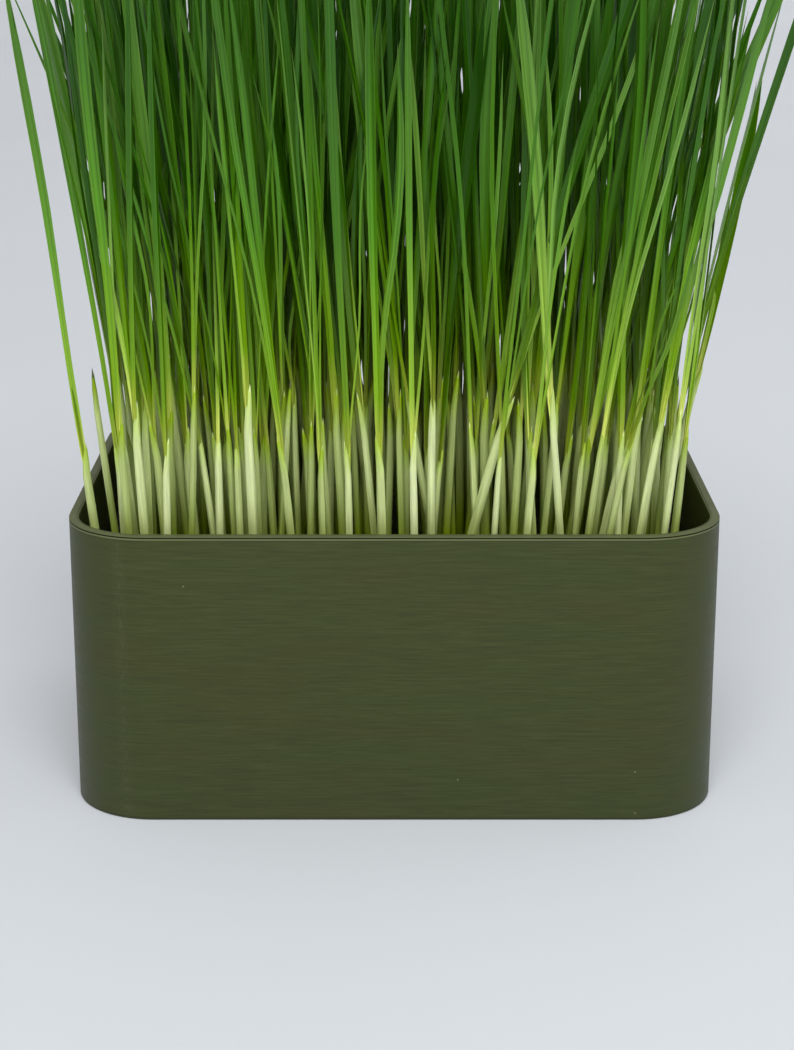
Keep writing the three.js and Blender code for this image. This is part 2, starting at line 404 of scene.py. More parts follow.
@dataclass(frozen=True)
class PrintedFinish:
    """The tray's olive plastic, laid down in fine level lines, with painted highlight and painted shade
    in bands at its rim and foot.
    """

    warm: Colour = (0.0445, 0.0515, 0.0108)
    cool: Colour = (0.039, 0.0545, 0.0112)
    dark: Colour = (0.029, 0.035, 0.008)
    light: Colour = (0.064, 0.074, 0.025)
    # Painted highlight: a lighter colour on the rim's top, for the light that falls on it.
    rim: Colour = (0.1, 0.118, 0.052)
    # Painted highlight: a lighter colour for the band just under the fine line below the rim's outer
    # edge.
    edge: Colour = (0.13, 0.152, 0.062)
    lip: float = 0.25 * MM
    # Painted shade: the lowest millimetre of the tray is darker, where it meets the ground.
    foot_painted_shade: Change = ((0.5 * MM, 1.1 * MM), (0.85, 0.0))
    lip_highlight: Range = (0.72 * MM, 0.26 * MM)
    lip_highlight_strength: float = 1.0
    # Painted shade: a dark level line a little lower under the rim's outer edge.
    under_lip_shade: Range = (1.1 * MM, 0.14 * MM)
    under_lip_shade_strength: float = 0.7
    mark: Colour = (0.17, 0.19, 0.11)
    roughness: Change = ((0.3, 0.7), (0.42, 0.58))
    specular: float = 0.3
    line_height: float = 0.36 * MM
    line_length: float = 9 * MM
    line_dark: Change = ((0.3, 0.5), (0.55, 0.0))
    line_light: Change = ((0.5, 0.72), (0.0, 0.5))
    band_height: float = 9 * MM
    band_length: float = 45 * MM
    band_change: Change = ((0.35, 0.65), (0.0, 1.0))
    noise_rough: float = 0.55
    relief: float = 0.035 * MM
    seam_x: float = -66.0 * MM
    seam_width: float = 2.2 * MM
    seam_strength: float = 0.12
    seam_length: float = 0.7 * MM
    seam_height: float = 1.2 * MM
    seam_breaks: Change = ((0.45, 0.65), (0.1, 1.0))
    marks: tuple[Range, ...] = (
        (-50.5 * MM, 60.6 * MM), (15.6 * MM, 10.8 * MM), (59.0 * MM, 12.8 * MM), (59.3 * MM, 1.9 * MM)
    )
    mark_radius: float = 0.28 * MM
    mark_strength: float = 0.9

    def material(self) -> bpy.types.Material:
        """The finish as a material."""
        graph = Graph("olive_print")
        place = graph.place()
        lines = self.level_noise(graph, place, self.line_length, self.line_height, 3.0)
        bands = self.level_noise(graph, place, self.band_length, self.band_height, 1.0)
        body = graph.mix(graph.rescale(bands, *self.band_change), self.warm, self.cool)
        body = graph.mix(graph.rescale(lines, *self.line_dark), body, self.dark)
        body = graph.mix(graph.rescale(lines, *self.line_light), body, self.light)
        _, _, z = graph.parts(place)
        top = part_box("planter")[1].z
        # Painted highlight: the rim's top gets a lighter colour, for the light that falls on it.
        rim_highlight_share = graph.rescale(z, (top - self.lip, top - self.lip / 2), (0.0, 1.0))
        body = graph.mix(rim_highlight_share, body, self.rim)
        # Painted highlight: a lighter band just under the fine line below the rim's outer edge, for the
        # light caught there.
        body = graph.mix(self.line_at(graph, z, top, self.lip_highlight, self.lip_highlight_strength), body, self.edge)
        # Painted shade: a dark level line a little lower under the rim's outer edge.
        line = self.line_at(graph, z, top, self.under_lip_shade, self.under_lip_shade_strength)
        body = graph.mix(line, body, self.dark)
        # Painted shade: the lowest millimetre of the tray is darker, where it meets the ground.
        body = graph.mix(graph.rescale(z, *self.foot_painted_shade), body, self.dark)
        body = graph.mix(self.blemishes(graph, place), body, self.mark)
        graph.feed("Base Color", body)
        graph.feed("Roughness", graph.rescale(lines, *self.roughness))
        graph.set("Specular IOR Level", self.specular)
        graph.bump(lines, self.relief)
        return graph.material

    def level_noise(
        self, graph: Graph, place: Socket, length: float, height: float, detail: float
    ) -> Socket:
        """Noise drawn out along the level.

        Args:
            graph: the material's nodes.
            place: where to read it.
            length: how long its features are.
            height: how high they are.
            detail: how many finer layers it has.

        Returns:
            The noise's value.
        """
        scales = (1 / length, 1 / length, 1 / height)
        return graph.noise(graph.stretch(place, scales), 1.0, detail, self.noise_rough)

    def line_at(self, graph: Graph, z: Socket, top: float, line: Range, strength: float) -> Socket:
        """A level band round the tray, below its rim, for a painted highlight or painted shade.

        Args:
            graph: the material's nodes.
            z: the height of the point.
            top: the height of the rim.
            line: how far below the rim the line lies, and half its height.
            strength: how strong it is in its middle.

        Returns:
            How strong the line is at the point.
        """
        below, half = line
        off = graph.math("ABSOLUTE", graph.math("SUBTRACT", z, top - below))
        return graph.rescale(off, (half * 0.6, half), (strength, 0.0))

    def blemishes(self, graph: Graph, place: Socket) -> Socket:
        """Pale marks: a faint upright line of them near one corner, and a few tiny ones in front.

        Args:
            graph: the material's nodes.
            place: where to read them.

        Returns:
            How strong the marks are, from 0 to 1.
        """
        x, y, z = graph.parts(place)
        front = graph.math("LESS_THAN", y, 0.0)
        off_seam = graph.math("ABSOLUTE", graph.math("SUBTRACT", x, self.seam_x))
        near = graph.rescale(off_seam, (0.0, self.seam_width), (self.seam_strength, 0.0))
        specks = self.level_noise(graph, place, self.seam_length, self.seam_height, 2.0)
        strength = graph.math("MULTIPLY", near, graph.rescale(specks, *self.seam_breaks))
        for mark_x, mark_z in self.marks:
            away = graph.node("VectorMath", Vector=graph.vector(x, z, 0.0))
            away.operation = "DISTANCE"
            away.inputs[1].default_value = (mark_x, mark_z, 0.0)
            fade = (self.mark_radius / 2, self.mark_radius)
            spot = graph.rescale(away.outputs["Value"], fade, (self.mark_strength, 0.0))
            strength = graph.math("MAXIMUM", strength, spot)
        return graph.math("MULTIPLY", strength, front)


@dataclass(frozen=True)
class PaintedGrooveShade:
    """Painted shade: a near-black colour for the inside of the fine line under the rim's outer edge."""

    # Near-black painted shade.
    colour: Colour = (0.014, 0.017, 0.006)

    def material(self) -> bpy.types.Material:
        """The finish as a material."""
        graph = Graph("olive_groove_painted_shade")
        graph.set("Base Color", self.colour)
        graph.set("Roughness", 0.8)
        graph.set("Specular IOR Level", 0.1)
        return graph.material


@dataclass(frozen=True)
class MixFinish:
    """The bed: dark moist growing mix, with pale root hairs."""

    dark: Colour = (0.012, 0.008, 0.005)
    light: Colour = (0.07, 0.043, 0.024)
    root: Colour = (0.35, 0.29, 0.19)
    crumb_scale: float = 600.0
    bend_scale: float = 150.0
    bend_size: float = 0.04
    hair_scale: float = 900.0
    hairs: Change = ((0.0, 0.012), (0.7, 0.0))
    relief: float = 0.6 * MM

    def material(self) -> bpy.types.Material:
        """The finish as a material."""
        graph = Graph("moist_mix")
        place = graph.place()
        crumbs = graph.noise(place, self.crumb_scale, 6.0, 0.6)
        body = graph.ramp(crumbs, [(0.3, self.dark), (0.72, self.light)])
        bend = graph.math("MULTIPLY", graph.noise(place, self.bend_scale, 2.0), self.bend_size)
        hair = graph.noise(graph.vector(bend, *graph.parts(place)[1:]), self.hair_scale)
        off_hair = graph.math("ABSOLUTE", graph.math("SUBTRACT", hair, 0.5))
        graph.feed("Base Color", graph.mix(graph.rescale(off_hair, *self.hairs), body, self.root))
        graph.set("Roughness", 0.9)
        graph.bump(crumbs, self.relief)
        return graph.material


@dataclass(frozen=True)
class SheathFinish:
    """A seedling's sheath: pale and faintly lined, greener at its foot and darker there with painted
    shade, with a pale point that is partly painted highlight, and dry at a few tips.
    """

    # Partly its own colour, partly painted shade: the foot is greener, and darker for the shade low in
    # the tray.
    foot: Colour = (0.2, 0.27, 0.03)
    body: Colour = (0.61, 0.7, 0.36)
    shoulder: Colour = (0.52, 0.7, 0.16)
    # A pale point, partly its own colour and partly painted highlight.
    tip: Colour = (0.82, 0.9, 0.58)
    dry: Colour = (0.2, 0.2, 0.12)
    lines_across: float = 3.6
    lines_along: float = 1.5
    line_value: Change = ((0.3, 0.7), (0.82, 1.14))
    tone_dry: Change = ((0.0, 0.04), (0.92, 0.0))
    tone_value: Change = ((0.0, 0.9), (0.48, 1.18))
    tone_strength: Change = ((0.2, 1.0), (1.42, 0.84))
    tone_hue: Change = ((0.0, 1.0), (0.508, 0.496))
    relief: float = 0.05 * MM

    def material(self) -> bpy.types.Material:
        """The finish as a material."""
        graph = Graph("sheath")
        across, along, _ = graph.parts(graph.node("UVMap").outputs["UV"])
        tone = graph.attribute("tone")
        # The foot's dark is painted shade, and the point's pale is partly painted highlight.
        stops = [(0.22, self.foot), (0.6, self.body), (0.78, self.body), (0.96, self.shoulder)]
        body = graph.ramp(along, [*stops, (1.0, self.tip)])
        body = graph.mix(graph.rescale(tone, *self.tone_dry), body, self.dry)
        u = graph.math("MULTIPLY", across, self.lines_across)
        v = graph.math("MULTIPLY", along, self.lines_along)
        lines = graph.noise(graph.vector(u, v, tone), 3.0, 2.0)
        # The tone holds each sheath's own random tone times the painted shade deep in the stand; a low
        # tone makes it darker, more saturated and greener.
        shade = graph.rescale(tone, *self.tone_value)
        value = graph.math("MULTIPLY", graph.rescale(lines, *self.line_value), shade)
        strength = graph.rescale(tone, *self.tone_strength)
        body = graph.adjust(body, graph.rescale(tone, *self.tone_hue), strength, value)
        graph.feed("Base Color", body)
        graph.set("Roughness", 0.42)
        graph.set("Specular IOR Level", 0.4)
        graph.set("Subsurface Weight", 0.3)
        graph.set("Subsurface Radius", (1.0, 0.9, 0.35))
        graph.set("Subsurface Scale", 0.8 * MM)
        graph.bump(lines, self.relief)
        return graph.material


@dataclass(frozen=True)
class LeafFinish:
    """A leaf: lime where it leaves the sheath, deep green above, with fine veins and a faint rib."""

    neck: Colour = (0.48, 0.6, 0.07)
    lime: Colour = (0.22, 0.44, 0.004)
    green: Colour = (0.08, 0.268, 0.003)
    deep: Colour = (0.039, 0.162, 0.004)
    dry: Colour = (0.13, 0.17, 0.06)
    rib: Colour = (0.2, 0.4, 0.07)
    veins_across: float = 3.6
    veins_along: float = 0.7
    veins_apart: float = 9.0
    vein_value: Change = ((0.32, 0.68), (0.68, 1.28))
    rib_pale: Change = ((0.0, 0.05), (0.2, 0.0))
    edge_pale: Change = ((0.45, 0.5), (0.0, 0.16))
    tone_value: Change = ((0.0, 1.0), (0.12, 1.72))
    tone_strength: Change = ((0.3, 1.0), (1.06, 0.82))
    tone_hue: Change = ((0.0, 0.8), (0.515, 0.485))
    relief: float = 0.07 * MM

    def material(self) -> bpy.types.Material:
        """The finish as a material."""
        graph = Graph("leaf")
        across, along, _ = graph.parts(graph.node("UVMap").outputs["UV"])
        tone = graph.attribute("tone")
        stops = [(0.0, self.neck), (0.07, self.lime), (0.33, self.green), (0.62, self.deep)]
        body = graph.ramp(along, [*stops, (0.97, self.deep), (1.0, self.dry)])
        u = graph.math("MULTIPLY", across, self.veins_across)
        v = graph.math("MULTIPLY", along, self.veins_along)
        own = graph.math("MULTIPLY", tone, self.veins_apart)
        veins = graph.noise(graph.vector(u, v, own), 2.0, 3.0)
        off_rib = graph.math("ABSOLUTE", graph.math("SUBTRACT", across, 0.5))
        edge = graph.rescale(off_rib, *self.edge_pale)
        pale = graph.math("MAXIMUM", graph.rescale(off_rib, *self.rib_pale), edge)
        body = graph.mix(pale, body, self.rib)
        # The tone holds each leaf's own random tone times the painted shade deep in the stand; a low
        # tone makes it darker and greener.
        shade = graph.rescale(tone, *self.tone_value)
        value = graph.math("MULTIPLY", graph.rescale(veins, *self.vein_value), shade)
        strength = graph.rescale(tone, *self.tone_strength)
        body = graph.adjust(body, graph.rescale(tone, *self.tone_hue), strength, value)
        graph.feed("Base Color", body)
        graph.set("Roughness", 0.36)
        graph.set("Specular IOR Level", 0.34)
        graph.set("Subsurface Weight", 0.15)
        graph.set("Subsurface Radius", (0.8, 1.0, 0.2))
        graph.set("Subsurface Scale", 0.6 * MM)
        graph.bump(veins, self.relief)
        return graph.material


@dataclass(frozen=True)
class HuskFinish:
    """The spent grain at a seedling's foot."""

    dark: Colour = (0.19, 0.12, 0.05)
    light: Colour = (0.46, 0.33, 0.16)
    grain_scale: float = 900.0
    relief: float = 0.1 * MM

    def material(self) -> bpy.types.Material:
        """The finish as a material."""
        graph = Graph("husk")
        grain = graph.noise(graph.place(), self.grain_scale, 4.0)
        graph.feed("Base Color", graph.ramp(grain, [(0.35, self.dark), (0.65, self.light)]))
        graph.set("Roughness", 0.6)
        graph.bump(grain, self.relief)
        return graph.material


@dataclass(frozen=True)
class FloorFinish:
    """The pale ground that the tray stands on, with painted light that makes it paler towards the right.
    """

    colour: Colour = (0.71, 0.755, 0.85)
    soft: Change = ((0.3, 0.7), (0.985, 1.015))
    # Painted light: the ground gets paler towards the right.
    painted_light_right: Change = ((-0.3, 0.8), (0.985, 1.13))

    def material(self) -> bpy.types.Material:
        """The finish as a material."""
        graph = Graph("pale_ground")
        place = graph.place()
        soft = graph.rescale(graph.noise(place, 3.0, 2.0), *self.soft)
        # Painted light: the ground is made paler towards the right.
        soft = graph.math("MULTIPLY", soft, graph.rescale(graph.parts(place)[0], *self.painted_light_right))
        shade = graph.vector(soft, soft, soft)
        graph.feed("Base Color", graph.mix(1.0, self.colour, shade, "MULTIPLY"))
        graph.set("Roughness", 0.7)
        graph.set("Specular IOR Level", 0.25)
        return graph.material


@dataclass(frozen=True)
class Groove:
    """A fine line sunk round the tray.

    Attributes:
        start: how far it starts from the rim's outer edge, inwards on the rim or down the outside.
        width: how wide it is.
        depth: how deep it is.
    """

    start: float
    width: float
    depth: float


@dataclass
class Tray:
    """The printed tray: an open box with round corners, eased edges and a rim of printed lines."""

    corner_radius: float = 20.5 * MM
    wall: float = 2.4 * MM
    floor: float = 3.0 * MM
    corner_segments: int = 16
    rim_ease: float = 0.2 * MM
    foot_ease: float = 0.6 * MM
    rim_groove: Groove = Groove(1.84 * MM, 0.26 * MM, 0.16 * MM)
    lip_groove: Groove = Groove(0.28 * MM, 0.26 * MM, 0.3 * MM)
    ring_slack: float = 0.03 * MM
    outside_slack: float = 0.3 * MM
    rim_groove_share: float = 0.45
    lip_groove_share: float = 0.55
    finish: PrintedFinish = field(default_factory=PrintedFinish)
    groove_painted_shade: PaintedGrooveShade = field(default_factory=PaintedGrooveShade)

    def __post_init__(self) -> None:
        """Reads the tray's outer size from the frame."""
        low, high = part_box("planter")
        self.size = high - low
        self.middle = (low + high) / 2
        self.top = high.z
        self.bottom = low.z

    def outside(self) -> bpy.types.Object:
        """The tray's outer block, with its upright edges rounded."""
        bpy.ops.mesh.primitive_cube_add(size=1, location=self.middle)
        block = bpy.context.object
        block.name = "tray"
        block.scale = self.size
        settle(block)
        pick(block, edges=lambda a, b: abs(a.z - b.z) > self.size.z / 2)
        bpy.ops.mesh.bevel(
            offset=self.corner_radius, segments=self.corner_segments, affect="EDGES", clamp_overlap=False
        )
        done_editing()
        return block

    def hollow(self, block: bpy.types.Object) -> None:
        """Sinks the inside into the block, leaving its walls and floor.

        Args:
            block: the tray's outer block.
        """
        pick(block, faces=lambda face: face.normal.z > LOOKS_UP)
        groove = self.rim_groove
        for thickness in (groove.start, groove.width, self.wall - groove.start - groove.width):
            bpy.ops.mesh.inset(thickness=thickness, depth=0)
        bpy.ops.mesh.extrude_region_move(
            TRANSFORM_OT_translate={"value": (0, 0, self.floor - (self.top - self.bottom))}
        )
        done_editing()

    def ring_at(self, inset: float) -> Callable[[Vector, Vector], bool]:
        """A test for the edges of the rim's line that runs at an inset from the outside.

        Args:
            inset: how far inside the tray's outline the line runs.

        Returns:
            The test, for pick.
        """

        def on_ring(a: Vector, b: Vector) -> bool:
            """Whether an edge lies on the rim, all at the inset."""
            level = min(a.z, b.z) > self.top - LEVEL
            return level and all(abs(self.inset_of(p) - inset) < self.ring_slack for p in (a, b))

        return on_ring

    def inset_of(self, point: Vector) -> float:
        """How far inside the tray's outline a point lies.

        Args:
            point: the point, whose height doesn't count.

        Returns:
            The distance.
        """
        across = abs(point.x - self.middle.x) - (self.size.x / 2 - self.corner_radius)
        deep = abs(point.y - self.middle.y) - (self.size.y / 2 - self.corner_radius)
        outside = math.hypot(max(across, 0), max(deep, 0))
        return self.corner_radius - outside - min(max(across, deep), 0)

    def cut_grooves(self, block: bpy.types.Object) -> None:
        """Sinks the fine line that runs round the rim, and the one just under its outer edge."""
        groove = self.rim_groove
        middle = groove.start + groove.width / 2
        pick(
            block,
            faces=lambda face: face.normal.z > LOOKS_UP
            and face.center.z > self.top - LEVEL
            and abs(self.inset_of(face.center) - middle) < groove.width * self.rim_groove_share,
        )
        bpy.ops.mesh.extrude_region_move(TRANSFORM_OT_translate={"value": (0, 0, -groove.depth)})
        done_editing()
        groove = self.lip_groove
        for below in (groove.start, groove.start + groove.width):
            pick(
                block,
                faces=lambda face: abs(face.normal.z) < LOOKS_OUT
                and self.inset_of(face.center) < self.outside_slack,
            )
            bpy.ops.mesh.bisect(plane_co=(0, 0, self.top - below), plane_no=(0, 0, 1))
            done_editing()
        pick(block, faces=self.in_lip_groove)
        bpy.ops.mesh.extrude_region_shrink_fatten(TRANSFORM_OT_shrink_fatten={"value": -groove.depth})
        done_editing()

    def in_lip_groove(self, face: bpy.types.MeshPolygon) -> bool:
        """Whether a face of the outside lies in the line under the rim's outer edge."""
        groove = self.lip_groove
        off_middle = abs(self.top - face.center.z - groove.start - groove.width / 2)
        level = off_middle < groove.width * self.lip_groove_share
        return level and self.inset_of(face.center) < groove.depth + self.outside_slack

    def ease_edges(self, block: bpy.types.Object) -> None:
        """Rounds the rim's outer and inner edges and eases the foot."""
        for inset in (0.0, self.wall):
            pick(block, edges=self.ring_at(inset))
            bpy.ops.mesh.bevel(offset=self.rim_ease, segments=3, affect="EDGES")
            done_editing()
        foot = self.bottom + LEVEL
        pick(block, edges=lambda a, b: max(a.z, b.z) < foot and self.inset_of(a) < ON_LINE)
        bpy.ops.mesh.bevel(offset=self.foot_ease, segments=2, affect="EDGES")
        done_editing()

    def dress(self, block: bpy.types.Object) -> None:
        """Gives the tray its finish, and the inside of the line under the rim's outer edge its painted
        shade.

        Args:
            block: the finished shape.
        """
        block.data.materials.append(self.finish.material())
        block.data.materials.append(self.groove_painted_shade.material())
        for face in block.data.polygons:
            # Painted shade: the faces inside the line under the rim's outer edge get the near-black
            # colour.
            if self.in_lip_groove(face) and self.inset_of(face.center) > ON_LINE:
                face.material_index = 1

    def build(self) -> list[bpy.types.Object]:
        """Models and dresses the tray.

        Returns:
            The tray's one piece.
        """
        block = self.outside()
        self.hollow(block)
        self.cut_grooves(block)
        self.ease_edges(block)
        smooth(block, 35)
        self.dress(block)
        hand_over(block, ["planter"])
        return [block]


@dataclass(frozen=True)
class Shoot:
    """One seedling, as the model holds it.

    Attributes:
        path: how its middle moves with height, as polynomials for x and y, highest power first.
        turn: how the way its leaf faces turns with height, as a straight line.
        foot: the height of the bed's surface.
        neck: the height at which the leaf leaves the sheath.
        top: the height of the tip.
        radius: the sheath's radius at its foot.
        heights: the heights at which the leaf's width is known, from the neck to the tip.
        widths: half the leaf's width at each.
        bare: whether it has no leaf.
    """

    path: tuple[np.ndarray, np.ndarray]
    turn: np.ndarray
    foot: float
    neck: float
    top: float
    radius: float
    heights: np.ndarray
    widths: np.ndarray
    bare: bool

    def middle(self, heights: np.ndarray) -> np.ndarray:
        """The shoot's middle at some heights, as rows of x, y and z."""
        x, y = (np.polyval(line, heights) for line in self.path)
        return np.stack([x, y, heights], axis=1)


class TuftReader:
    """Finds the seedlings in a tuft of the model."""

    def __init__(self, node: bpy.types.Object) -> None:
        """Reads a tuft's corners and triangles, with its doubles merged.

        Args:
            node: the tuft's object in the frame.
        """
        mesh = node.data
        places = np.empty(len(mesh.vertices) * 3, np.float32)
        mesh.vertices.foreach_get("co", places)
        corners = np.empty(len(mesh.loops), np.int32)
        mesh.loops.foreach_get("vertex_index", corners)
        rounded = np.round(places.reshape(-1, 3).astype(float), 6)
        merged, index = np.unique(rounded, axis=0, return_inverse=True)
        self.points = merged
        self.triangles = index.reshape(-1)[corners].reshape(-1, 3)
        levels, counts = np.unique(np.round(merged[:, 2], 5), return_counts=True)
        self.surface = float(levels[np.argmax(counts)])

    def groups(self) -> list[tuple[list[int], list[int]]]:
        """The corners of each seedling above the bed, and those where it meets the bed."""
        above = self.points[:, 2] > self.surface + ON_LINE
        level = np.abs(self.points[:, 2] - self.surface) < LEVEL
        neighbours: dict[int, set[int]] = {i: set() for i in np.nonzero(above)[0]}
        for triangle in self.triangles:
            for a in triangle:
                if above[a]:
                    neighbours[a].update(triangle)
        found, seen = [], set()
        for start in neighbours:
            if start in seen:
                continue
            body, feet, queue = set(), set(), [start]
            while queue:
                point = queue.pop()
                if point in body:
                    continue
                body.add(point)
                for other in neighbours[point]:
                    if above[other]:
                        queue.append(other)
                    elif level[other]:
                        feet.add(other)
            seen |= body
            found.append((sorted(body), sorted(feet)))
        return found

    def shoot(self, body: list[int], feet: list[int]) -> Shoot:
        """One seedling, from its corners.

        Args:
            body: its corners above the bed: rings of three, and the tip.
            feet: its corners on the bed's surface.

        Returns:
            The seedling.
        """
        points = self.points[body]
        tip = points[np.argmax(points[:, 2])]
        rings = []
        for height in np.unique(np.round(points[:, 2], 5)):
            ring = points[np.abs(points[:, 2] - height) < 2 * LEVEL]
            if len(ring) == 3:
                rings.append(ring)
        middles, angles, widths = [], [], []
        for ring in rings:
            sides = [np.linalg.norm(ring[i] - ring[(i + 1) % 3]) for i in range(3)]
            widest = int(np.argmax(sides))
            left, right, keel = (ring[(widest + i) % 3] for i in range(3))
            rise = keel - (left + right) / 2
            middles.append(ring.mean(axis=0))
            angles.append(math.atan2(rise[1], rise[0]) - math.pi / 2)
            widths.append(sides[widest] / 2)
        foot = self.points[feet].mean(axis=0)
        radius = float(np.linalg.norm(self.points[feet] - foot, axis=1).max())
        bare = len(rings) < 2
        known = np.array([foot, *middles, tip] if bare else [*middles, tip])
        degree = 1 if bare else 2
        path = tuple(np.polyfit(known[:, 2], known[:, axis], degree) for axis in (0, 1))
        heights = np.array([middle[2] for middle in middles])
        turn = np.array([0.0, angles[0]]) if bare else np.polyfit(heights, np.unwrap(angles), 1)
        return Shoot(
            path=path,
            turn=turn,
            foot=self.surface,
            neck=float(heights[0]),
            top=float(tip[2]),
            radius=radius,
            heights=np.append(heights, tip[2]),
            widths=np.append(widths, 0.0),
            bare=bare,
        )

    def shoots(self) -> list[Shoot]:
        """Every seedling in the tuft."""
        return [self.shoot(body, feet) for body, feet in self.groups()]


class TubePattern:
    """A closed tube of radius 1 and height 1 with a pointed end, modelled once and copied."""

    def __init__(
        self, name: str, sides: int, cuts: Sequence[float], material: bpy.types.Material
    ) -> None:
        """Models the tube.

        Args:
            name: the name that its copies start with.
            sides: how many sides it has.
            cuts: the heights of its rings between its foot and its point.
            material: its finish.
        """
        deselect()
        bpy.ops.mesh.primitive_cylinder_add(vertices=sides, radius=1, depth=1, location=(0, 0, 0.5))
        self.tube = bpy.context.object
        self.tube.name = name
        settle(self.tube)
        for cut in cuts:
            bpy.ops.object.mode_set(mode="EDIT")
            bpy.ops.mesh.select_all(action="SELECT")
            bpy.ops.mesh.bisect(plane_co=(0, 0, cut), plane_no=(0, 0, 1))
            bpy.ops.object.mode_set(mode="OBJECT")
        pick(self.tube, points=lambda place: place.z > POINT)
        bpy.ops.mesh.merge(type="CENTER")
        done_editing()
        self.tube.data.materials.append(material)
        self.points = np.array([vertex.co[:] for vertex in self.tube.data.vertices])
        self.side, self.front = self.points[:, :1], self.points[:, 1:2]
        self.shares = np.array([0.0, *cuts, 1.0])
        self.ring = np.abs(self.points[:, 2:] - self.shares).argmin(axis=1)
        self.map_surface()

    def map_surface(self) -> None:
        """Gives the tube its map, round it and along it, and room for its own tone."""
        mesh = self.tube.data
        while mesh.uv_layers:
            mesh.uv_layers.remove(mesh.uv_layers[0])
        turns = [turn for face in mesh.polygons for turn in self.face_turns(list(face.vertices))]
        self.corner = np.array([i for face in mesh.polygons for i in face.vertices])
        self.map = np.stack([np.array(turns), self.points[self.corner, 2]], axis=1)
        mesh.uv_layers.new(name="along").data.foreach_set("uv", self.map.astype(np.float32).ravel())
        mesh.attributes.new("tone", "FLOAT", "POINT")

    def face_turns(self, face: list[int]) -> list[float]:
        """Where a face's corners lie round the tube, in turns, with no jump inside the face.

        Args:
            face: the indices of its corners.

        Returns:
            A number for each corner.
        """
        turns = [math.atan2(self.points[i][1], self.points[i][0]) / math.tau % 1 for i in face]
        known = [turn for i, turn in zip(face, turns) if self.points[i][2] < POINT]
        if len(face) <= 4 and max(known) - min(known) > 0.5:
            turns = [turn + 1 if turn < 0.5 else turn for turn in turns]
            known = [turn + 1 if turn < 0.5 else turn for turn in known]
        middle = sum(known) / len(known)
        return [turn if self.points[i][2] < POINT else middle for i, turn in zip(face, turns)]

    def copy(
        self, points: np.ndarray, tone: float | np.ndarray, uvs: np.ndarray | None = None
    ) -> bpy.types.Object:
        """Makes a copy with a mesh of its own.

        Args:
            points: where its corners go.
            tone: a number from 0 to 1 that sets its own random tone, times any painted shade, or one for
                each corner.
            uvs: its map by corner, where it isn't the pattern's own.

        Returns:
            The copy.
        """
        made = self.tube.copy()
        made.data = self.tube.data.copy()
        made.data.vertices.foreach_set("co", points.astype(np.float32).ravel())
        tones = np.zeros(len(points), np.float32) + np.float32(tone)
        made.data.attributes["tone"].data.foreach_set("value", tones)
        if uvs is not None:
            made.data.uv_layers[0].data.foreach_set("uv", uvs[self.corner].astype(np.float32).ravel())
        bpy.context.scene.collection.objects.link(made)
        return made

    def put_away(self) -> None:
        """Removes the pattern once its copies are made."""
        bpy.data.objects.remove(self.tube)


@dataclass(frozen=True)
class LeafHabit:
    """How one kind of leaf grows, measured against the leaf that the model holds.

    Attributes:
        share: how many of the seedlings have one.
        spread: how far its tip stands off from that leaf's.
        reach: its length.
        width: its width.
        tone: how dark or light it is.
    """

    share: float
    spread: Range
    reach: Range
    width: Range
    tone: Range


